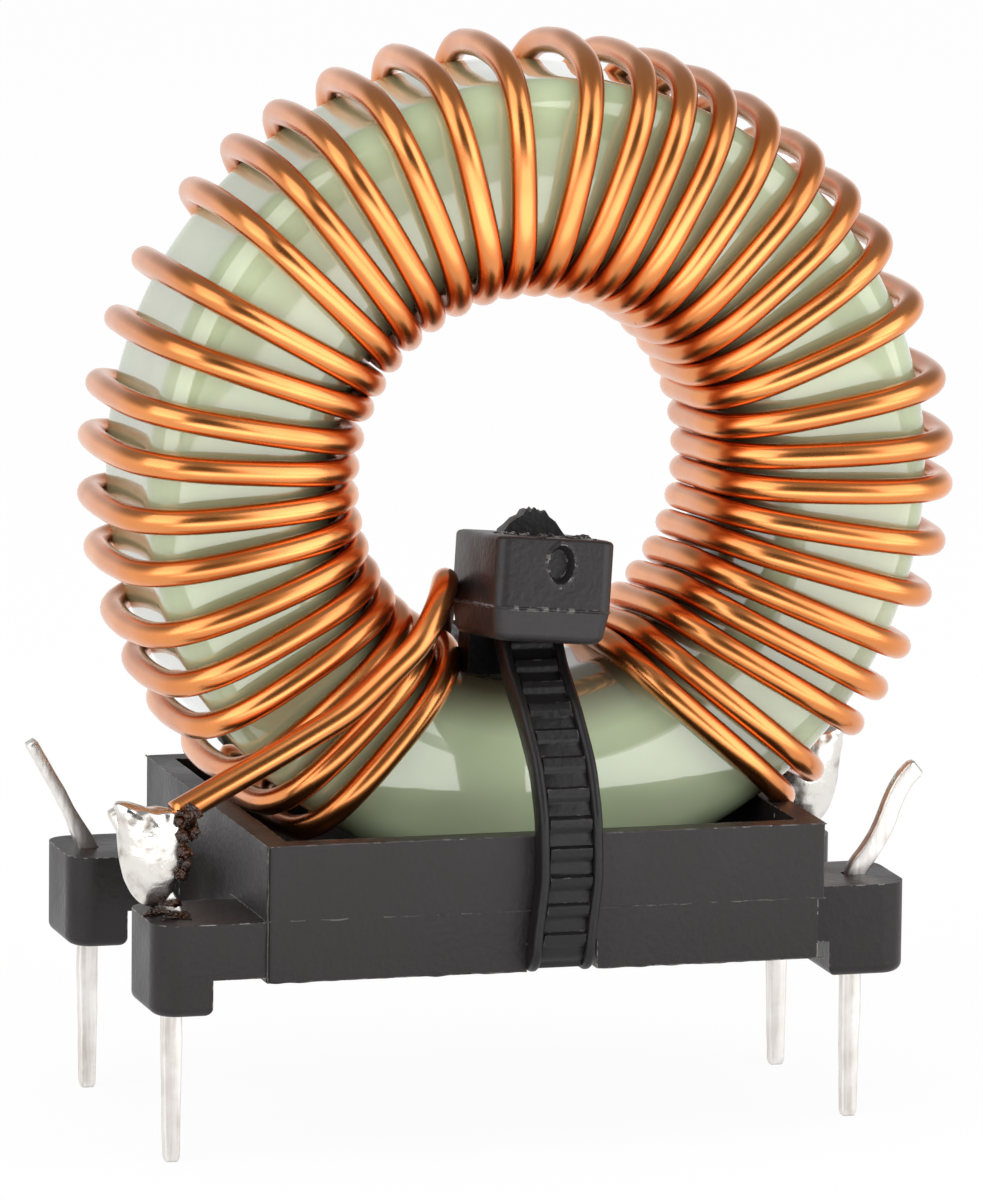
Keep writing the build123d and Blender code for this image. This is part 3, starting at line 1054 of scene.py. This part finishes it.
@dataclass
class SolidDress:
    """Finishes one of the frame's own solids, with its edges softened."""

    node: str
    edge: float
    slot: str
    flat_angle: float = 1.0
    sharp_angle: float = 35.0

    def build(self, nodes: dict[str, Piece], material: Material) -> Piece:
        """Give the solid its material and soft edges.

        Args:
            nodes: The frame's solids by name.
            material: The finish.

        Returns:
            The solid.
        """
        solid = nodes[self.node]
        solid.data.materials.clear()
        solid.data.materials.append(material)
        flat = solid.modifiers.new("flat_faces", "DECIMATE")
        flat.decimate_type = "DISSOLVE"
        flat.angle_limit = math.radians(self.flat_angle)
        soft = solid.modifiers.new("soft_edges", "BEVEL")
        soft.width = self.edge
        soft.segments = 2
        soft.limit_method = "ANGLE"
        soft.angle_limit = math.radians(self.sharp_angle)
        soft.harden_normals = True
        solid.data.polygons.foreach_set("use_smooth", [True] * len(solid.data.polygons))
        LOG.info("%s: dressed", self.node)
        return solid


@dataclass
class MouldSeams:
    """Ragged lines of flash where the base's mould closed."""

    lug_top: float = 3.8 * MM
    feet: float = 1.3 * MM
    pins_inset: float = 6.1 * MM
    radius: float = 0.035 * MM
    sides: int = 6
    ragged: float = 0.05 * MM
    ragged_scale: float = 1500.0
    sink_share: float = 0.4
    step: float = 0.12 * MM
    tray_x: Span = (-11.4 * MM, 12.1 * MM)
    groove_x: Span = (-0.53 * MM, 2.43 * MM)

    def build(self, material: Material) -> None:
        """Lay one bead along each seam.

        Args:
            material: Finish of the flash.
        """
        low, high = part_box("mounting_base")
        left, right = self.tray_x
        front, top = low.y, high.z
        lines = (
            ((left, front, self.lug_top), (right, front, self.lug_top)),
            ((left, front, top), (right, front, top)),
            ((left, front, self.feet), (self.groove_x[0], front, self.feet)),
            ((self.groove_x[1], front, self.feet), (right, front, self.feet)),
            ((left, front, self.feet), (left, front, top)),
            ((left, front, self.lug_top), (left, front + self.pins_inset, self.lug_top)),
            ((left, front, top), (left, high.y, top)),
        )
        middle = np.array([(left + right) / 2, 0.0, self.lug_top])
        for number, ends in enumerate(np.array(lines)):
            runs = np.abs(ends[1] - ends[0]) > MM
            inward = np.where(runs, 0.0, np.copysign(1.0, middle - ends.mean(axis=0)))
            points = resample(ends, self.step)
            sway = [noise.noise(Vector(point) * self.ragged_scale) + self.sink_share for point in points]
            points = points + np.outer(np.array(sway) * self.ragged, inward)
            name = f"base_seam_{number}"
            new_piece(name, tube_mesh(name, points, self.radius, self.sides), material)


@dataclass
class CableTie:
    """The toothed strap and its head, with the strap's torn end on top.

    Its fields are in millimetres. Places on the head are across from its middle, back from its front face
    and up from its underside.
    """

    node: str = "cable_tie"
    half_width: float = 1.325
    half_thickness: float = 0.55
    rail: float = 0.42
    channel: float = 0.32
    pitch: float = 1.18
    tooth: float = 0.2
    tooth_places: tuple[float, ...] = (0.0, 0.09, 0.38, 0.56, 1.0)
    tooth_shares: tuple[float, ...] = (0.0, 1.0, 0.75, 0.1, 0.0)
    teeth_end: float = 52.0
    step: float = 0.05
    bend_reach: int = 20
    sharp_angle: float = 40.0
    head_size: Point = (4.95, 6.7, 4.25)
    head_front: Point = (0.69, -9.03, 16.775)
    head_rows: int = 100
    front_steps: int = 72
    corner_steps: int = 6
    roll: float = 5.0
    lean: float = -6.8
    skirt: float = 1.36
    skirt_taper: float = 9.0
    corner: float = 0.5
    low_edge: float = 0.35
    top_edge: float = 0.22
    lip: float = 0.06
    lip_half: float = 0.04
    lip_rough: float = 0.8
    lip_grain: Point = (3.0, 3.0, 0.4)
    front_skin: float = 0.01
    dent_at: Span = (0.2, 3.2)
    dent_half: Span = (0.52, 0.78)
    dent_depth: float = 0.5
    dent_steep: float = 2.5
    rim: float = 0.05
    rim_reach: float = 1.45
    end_back: Span = (3.05, 4.1)
    end_rings: int = 6
    end_shift: float = -0.1
    end_jag: float = 0.12
    end_grain: Point = (4.0, 3.0, 2.0)
    crumb_count: int = 26
    crumb_across: Span = (-1.9, 2.2)
    crumb_back: Span = (0.15, 3.2)
    crumb_size: Span = (0.04, 0.13)
    crumb_rough: float = 0.6
    crumb_seed: int = 3
    root_corners: tuple[Span, ...] = ((-2.1, 4.7), (1.4, 4.7), (1.4, 6.3), (-2.1, 6.3))
    root_levels: Point = (-1.55, -0.9, 0.4)
    route: tuple[Point, ...] = (
        (0.5, -5.43, 16.6), (0.52, -5.43, 14.65), (0.55, -6.73, 13.05), (0.62, -8.7, 11.55),
        (0.84, -9.99, 9.65), (0.98, -10.43, 7.75), (1.05, -10.43, 5.2), (0.74, -10.43, 2.6),
        (0.72, -10.43, 1.87), (0.95, 11.23, 1.87), (0.95, 11.23, 7.35), (0.95, 5.63, 10.6),
        (0.95, 5.63, 12.8), (0.7, -3.93, 12.8), (0.7, -3.93, 16.4),
    )
    stub: tuple[Span, ...] = (
        (-1.32, -0.4), (-1.3, 0.12), (-1.1, 0.42), (-0.8, 0.64), (-0.52, 0.8), (-0.42, 1.04),
        (-0.25, 0.92), (-0.05, 1.08), (0.16, 0.95), (0.4, 1.02), (0.56, 0.8), (0.85, 0.6), (1.1, 0.3),
        (1.3, 0.05), (1.32, -0.4),
    )

    def strap_section(self) -> list[Point]:
        """Go round the strap, with rounded rails beside its channel.

        Returns:
            Across, outward and tooth share of each point.
        """
        wide, thick, floor = self.half_width, self.half_thickness, self.half_thickness - self.channel
        half = [
            (wide - 0.15, -thick, 0.0), (wide - 0.04, -thick + 0.04, 0.0), (wide, -thick + 0.15, 0.0),
            (wide, thick - 0.2, 0.0), (wide - 0.05, thick - 0.07, 0.0), (wide - 0.13, thick - 0.01, 0.0),
            (wide - 0.21, thick, 0.0), (wide - 0.29, thick - 0.01, 0.0), (wide - 0.37, thick - 0.07, 0.0),
            (wide - self.rail, thick - 0.18, 0.0), (wide - self.rail, floor, 0.0),
            (wide - self.rail - 0.03, floor, 1.0), (0.3, floor, 1.0),
        ]
        return half + [(-across, out, share) for across, out, share in reversed(half)]

    def strap(self) -> Mesh:
        """Sweep the strap round the core and the base, with its teeth on the front.

        Returns:
            The mesh.
        """
        line = resample(np.array(self.route), self.step)
        line = resample(soften(line, self.bend_reach), self.step)
        rings = []
        for index, (point, tangent) in enumerate(zip(line, directions(line))):
            along = index * self.step
            outward = np.array([0.0, tangent[2], -tangent[1]])
            rise = self.tooth * np.interp(along / self.pitch % 1.0, self.tooth_places, self.tooth_shares)
            raised = 0.0 if along > self.teeth_end else rise
            rings.append(MM * np.array([point + (across, 0.0, 0.0) + outward * (out + share * raised)
                                        for across, out, share in self.strap_section()]))
        return loft_mesh("tie_strap", rings)

    def seat(self, across: float, back: float, up: float) -> np.ndarray:
        """Find a place on the leaning head.

        Args:
            across: Distance from its middle.
            back: Distance from its front face.
            up: Distance from its underside.

        Returns:
            The place in metres.
        """
        roll = Matrix.Rotation(math.radians(self.roll), 3, "Y")
        lean = Matrix.Rotation(math.radians(self.lean), 3, "X")
        spot = Vector(self.head_front) + roll @ lean @ Vector((across, back, up - self.head_size[2] / 2))
        return np.array(spot) * MM

    def head_inset(self, up: float) -> float:
        """Find how far the head's walls stand in at one height.

        Args:
            up: The height.

        Returns:
            The distance.
        """
        inset = max(0.0, self.skirt - up) * math.tan(math.radians(self.skirt_taper))
        for reach, edge in ((up, self.low_edge), (self.head_size[2] - up, self.top_edge)):
            if reach < edge:
                inset += edge - math.sqrt(max(0.0, edge * edge - (edge - reach) ** 2))
        return inset

    def head_line(self, inset: float) -> list[Span]:
        """Go round the head at one height.

        Args:
            inset: How far its walls stand in there.

        Returns:
            Across and back of each point.
        """
        half, corner, long = self.head_size[0] / 2 - inset, self.corner, self.head_size[1] - inset
        bend = [(corner * math.cos(t), corner * math.sin(t))
                for t in np.linspace(0.0, math.pi / 2, self.corner_steps)]
        rear = [(half - corner + across, long - corner + back) for across, back in bend]
        front = [(-half + corner - across, inset + corner - back) for across, back in bend]
        line = rear + [(-across, back) for across, back in reversed(rear)] + front
        flat = np.linspace(-half + corner, half - corner, self.front_steps)[1:-1]
        line += [(across, inset) for across in flat]
        return line + [(-across, back) for across, back in reversed(front)]

    def head_point(self, across: float, back: float, up: float, inset: float) -> np.ndarray:
        """Move one point of the head for its parting line and its dent.

        Args:
            across: Distance from the head's middle.
            back: Distance from its front face.
            up: Distance from its underside.
            inset: How far its walls stand in at that height.

        Returns:
            The place in metres.
        """
        grain = Vector(a * b for a, b in zip((across, back, up), self.lip_grain))
        lip = self.lip * (1.0 + self.lip_rough * noise.noise(grain))
        lip = lip if abs(up - self.skirt) < self.lip_half else 0.0
        if back > inset + self.front_skin:
            return self.seat(across + math.copysign(lip, across), back, up)
        (middle, level), (reach, rise) = self.dent_at, self.dent_half
        hollow = ((across - middle) / reach) ** 2 + ((up - level) / rise) ** 2
        dip = self.dent_depth * min(1.0, self.dent_steep * max(0.0, 1.0 - hollow))
        rim = self.rim if 1.0 < hollow < self.rim_reach else 0.0
        return self.seat(across, back + dip - rim - lip, up)

    def head(self) -> Mesh:
        """Stack the head's outlines.

        Returns:
            The mesh.
        """
        rings = []
        for up in np.linspace(0.0, self.head_size[2], self.head_rows):
            inset = self.head_inset(up)
            rings.append(np.array([self.head_point(*spot, up, inset) for spot in self.head_line(inset)]))
        return loft_mesh("tie_head", rings)

    def torn_end(self) -> Mesh:
        """Make the ragged end of the strap on top of the head.

        Returns:
            The mesh.
        """
        scale_across, scale_back, place = self.end_grain
        rings = []
        for back in np.linspace(*self.end_back, self.end_rings):
            ring = []
            for across, up in self.stub:
                grain = noise.noise(Vector((across * scale_across, back * scale_back, place)))
                jag = self.end_jag * grain if up > 0.0 else 0.0
                ring.append(self.seat(across + self.end_shift, back + jag, self.head_size[2] + up + jag))
            rings.append(np.array(ring))
        return loft_mesh("tie_end", rings)

    def crumbs(self) -> Mesh:
        """Scatter crumbs over the top of the head.

        Returns:
            The mesh.
        """
        draw = random.Random(self.crumb_seed)
        lumps = []
        for _ in range(self.crumb_count):
            across, back = draw.uniform(*self.crumb_across), draw.uniform(*self.crumb_back)
            spot = self.seat(across, back, self.head_size[2])
            size = draw.uniform(*self.crumb_size) * MM
            lumps.append((Vector(spot), Vector((2.0 * size, size, size))))
        return lump_mesh("tie_crumbs", lumps, self.crumb_rough)

    def root(self) -> Mesh:
        """Make the block under the rear of the head, for the strap's return in the head's shade.

        Returns:
            The mesh.
        """
        rings = [[self.seat(*corner, up) for corner in self.root_corners] for up in self.root_levels]
        return loft_mesh("tie_root", [np.array(ring) for ring in rings])

    def build(self, material: Material, dark: Material, painted_shade_finish: Material) -> Piece:
        """Make the strap, the head, its root and the torn end.

        Args:
            material: Finish of the head.
            dark: Finish of the strap.
            painted_shade_finish: Finish of the root, a near-black copy of the nylon that paints the shade
                under the head.

        Returns:
            The strap's piece, which stands for the whole tie.
        """
        # The root block stands for the strap's return under the head. Its near-black, barely glossy finish is
        # painted shade.
        meshes = [(self.strap(), dark), (self.head(), material), (self.torn_end(), dark),
                  (self.crumbs(), material), (self.root(), painted_shade_finish)]
        pieces = []
        for mesh, finish in meshes:
            pieces.append(new_piece(mesh.name, mesh, finish))
            mesh.set_sharp_from_angle(angle=math.radians(self.sharp_angle))
        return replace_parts(pieces[0], self.node)


@dataclass(frozen=True)
class SoftBox:
    """One soft light that faces the object, placed from the front towards +X and above the horizon."""

    name: str
    azimuth: float
    elevation: float
    width: float
    height: float
    power: float
    reflected: bool = True


@dataclass
class Studio:
    """Pale floor, soft boxes and the camera."""

    floor_z: float
    aim: Vector
    azimuth: float = -15.81
    elevation: float = 9.882
    roll: float = 0.642
    distance: float = 454.6 * MM
    lens: float = 331.2
    clip: Span = (0.01, 20.0)
    floor_size: float = 3.0
    floor_colour: Colour = (0.93, 0.93, 0.93)
    floor_white: float = 0.95
    box_distance: float = 0.6
    boxes: tuple[SoftBox, ...] = (
        SoftBox("left_box", -62.0, 28.0, 0.55, 0.7, 2.0),
        SoftBox("right_box", 45.0, 24.0, 0.5, 0.6, 1.7),
        SoftBox("top_box", 0.0, 80.0, 0.7, 0.6, 2.0, reflected=False),
    )
    table_light: SoftBox = SoftBox("table_light", 0.0, -90.0, 0.2, 0.17, 0.2)
    table_place: Span = (0.03, -0.13)
    table_rise: float = 2.0 * MM
    card: SoftBox = SoftBox("front_card", -8.0, 13.0, 0.64, 0.56, 0.0)
    card_shade: Colour = (0.03, 0.03, 0.03)
    sky_light: float = 0.4
    sky_heights: Span = (0.12, 0.5)
    sky_seen: Span = (1.0, 0.3)

    def direction(self, azimuth: float, elevation: float) -> Vector:
        """Return the unit vector from the object towards a place round it."""
        across, up = math.radians(azimuth), math.radians(elevation)
        return Vector((math.sin(across) * math.cos(up), -math.cos(across) * math.cos(up), math.sin(up)))

    def link(self, name: str, data: bpy.types.ID) -> Piece:
        """Add an object to the scene.

        Args:
            name: The object's name.
            data: Its mesh, light or camera.

        Returns:
            The object.
        """
        made = bpy.data.objects.new(name, data)
        bpy.context.scene.collection.objects.link(made)
        return made

    def face(self, item: Piece, box: SoftBox) -> None:
        """Place an item round the object and turn it to face it.

        Args:
            item: The lamp or card.
            box: Its place.
        """
        away = self.direction(box.azimuth, box.elevation)
        item.location = self.aim + away * self.box_distance
        item.rotation_mode = "QUATERNION"
        item.rotation_quaternion = away.to_track_quat("Z", "Y")

    def camera(self) -> None:
        """Make the camera at the photograph's viewing angle."""
        data = bpy.data.cameras.new("camera")
        data.sensor_width = 36.0
        data.lens = self.lens
        data.clip_start, data.clip_end = self.clip
        camera = self.link("camera", data)
        away = self.direction(self.azimuth, self.elevation)
        turn = (-away).to_track_quat("-Z", "Y").to_matrix().to_4x4()
        roll = Matrix.Rotation(math.radians(self.roll), 4, "Z")
        camera.matrix_world = Matrix.Translation(self.aim + away * self.distance) @ turn @ roll
        bpy.context.scene.camera = camera

    def lamp(self, box: SoftBox) -> Piece:
        """Add one soft light.

        Args:
            box: Its name, size and power in watts.

        Returns:
            The lamp, not yet placed.
        """
        data = bpy.data.lights.new(box.name, "AREA")
        data.shape = "RECTANGLE"
        data.size, data.size_y = box.width, box.height
        data.energy = box.power
        lamp = self.link(box.name, data)
        lamp.visible_glossy = box.reflected
        return lamp

    def sheet(self, name: str, width: float, height: float, surface: Surface) -> Piece:
        """Add one flat sheet to the stage.

        Args:
            name: Its name.
            width: Its width.
            height: Its height.
            surface: Its finish.

        Returns:
            The sheet, not yet placed.
        """
        x, y = width / 2, height / 2
        mesh = bpy.data.meshes.new(name)
        mesh.from_pydata([(-x, -y, 0.0), (x, -y, 0.0), (x, y, 0.0), (-x, y, 0.0)], [], [(0, 1, 2, 3)])
        mesh.materials.append(surface.material)
        sheet = self.link(name, mesh)
        sheet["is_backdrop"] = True
        return sheet

    def dark_card(self) -> None:
        """Add one dark card that only reflections see."""
        surface = Surface(self.card.name)
        surface.set(Base_Color=self.card_shade, Roughness=1.0, Specular_IOR_Level=0.0)
        card = self.sheet(self.card.name, self.card.width, self.card.height, surface)
        self.face(card, self.card)
        card.visible_camera = False
        card.visible_diffuse = False
        card.visible_shadow = False

    def floor(self) -> None:
        """Lay the pale floor under the pins."""
        surface = Surface("pale_floor")
        surface.set(Base_Color=self.floor_colour, Roughness=0.9)
        white = surface.node("Emission", {"Strength": 1.0}).outputs[0]
        share = surface.maths("MULTIPLY", self.seen_directly(surface), self.floor_white)
        both = surface.node("MixShader", {0: share, 1: surface.shader.outputs[0], 2: white})
        surface.tree.links.new(both.outputs[0], surface.output.inputs[0])
        self.sheet("floor", self.floor_size, self.floor_size, surface).location.z = self.floor_z

    @staticmethod
    def seen_directly(wiring: Wiring) -> Socket:
        """Tell the rays that show a surface in the picture, in metal or through glass.

        Args:
            wiring: The tree to add to.

        Returns:
            An output of 1 for those rays and 0 for others.
        """
        path = wiring.node("LightPath")
        metal = wiring.maths("MAXIMUM", path.outputs["Is Camera Ray"], path.outputs["Is Glossy Ray"])
        return wiring.maths("MAXIMUM", metal, path.outputs["Is Transmission Ray"])

    def world(self) -> None:
        """Surround the object with plain white, dimmer as a light than as a backdrop."""
        world = bpy.data.worlds.new("world")
        bpy.context.scene.world = world
        world.use_nodes = True
        world.node_tree.nodes.clear()
        wiring = Wiring(world.node_tree)
        towards = wiring.node("TexCoord").outputs["Generated"]
        height = wiring.node("SeparateXYZ", {0: towards}).outputs[2]
        upper = wiring.ramp(height, *self.sky_heights, *self.sky_seen)
        seen = self.seen_directly(wiring)
        strength = wiring.node("Mix", {0: seen, 2: self.sky_light, 3: upper}).outputs[0]
        sky = wiring.node("Background", {"Color": (1.0, 1.0, 1.0), "Strength": strength})
        wiring.node("OutputWorld", {0: sky.outputs[0]})

    def build(self) -> None:
        """Set up the whole studio."""
        self.camera()
        self.floor()
        self.world()
        for box in self.boxes:
            self.face(self.lamp(box), box)
        upward = self.lamp(self.table_light)
        upward.location = Vector((*self.table_place, self.floor_z + self.table_rise))
        upward.rotation_euler = (math.pi, 0.0, 0.0)
        self.dark_card()
        bpy.context.scene.view_settings.view_transform = "Standard"


def main() -> None:
    """Build each piece in turn."""
    logging.basicConfig(level=logging.INFO)
    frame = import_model()
    cad_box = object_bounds()
    nodes = frame["nodes"]
    core = RingCore()
    core.build(EpoxyCoat())
    Winding(core).build(EnamelledCopper())
    plastic = MouldedPlastic().build()
    nylon = MouldedPlastic(
        "black_nylon", body=(0.005, 0.0042, 0.0045), cloudy=(0.009, 0.0078, 0.008),
        scuff=(0.16, 0.15, 0.14), wear_breaks=0.56, dust_share=0.03).build()
    head_nylon = MouldedPlastic(
        "head_nylon", body=(0.014, 0.012, 0.0127), cloudy=(0.020, 0.0172, 0.0183),
        scuff=(0.34, 0.32, 0.31), wear_breaks=0.5, dust_share=0.06).build()
    # Near-black, low-gloss copy of the nylon for the tie's root block: painted shade under the head.
    painted_shade_nylon = MouldedPlastic(
        "painted_shade_nylon", body=(0.002, 0.0017, 0.0017), cloudy=(0.004, 0.0034, 0.0034),
        scuff=(0.03, 0.028, 0.027), specular=0.06, wear_breaks=0.56, dust_share=0.02).build()
    flash = MouldedPlastic(
        "plastic_flash", body=(0.022, 0.019, 0.0195), cloudy=(0.07, 0.064, 0.064),
        scuff=(0.16, 0.15, 0.145), wear_breaks=0.52).build()
    strip = TinnedStrip().build()
    solder = BrightSolder().build()
    flux = BurntFlux().build()
    SolidDress("mounting_base", 0.12 * MM, "base_plastic").build(nodes, plastic)
    MouldSeams().build(flash)
    CableTie().build(head_nylon, nylon, painted_shade_nylon)
    for place, top in PIN_TOPS.items():
        StripPin(place, top, top_share=0.62 if "rear" in place else 0.95).build(strip)
    SolderJoint("front_left").build(solder, flux)
    SolderJoint("rear_right", shift=0.3, drop=-0.4 * MM, seed=8).build(solder, flux)
    Studio(floor_z=cad_box[0].z, aim=Vector((0.61, 0.1, 14.855)) * MM).build()


if __name__ == "__main__":
    main()
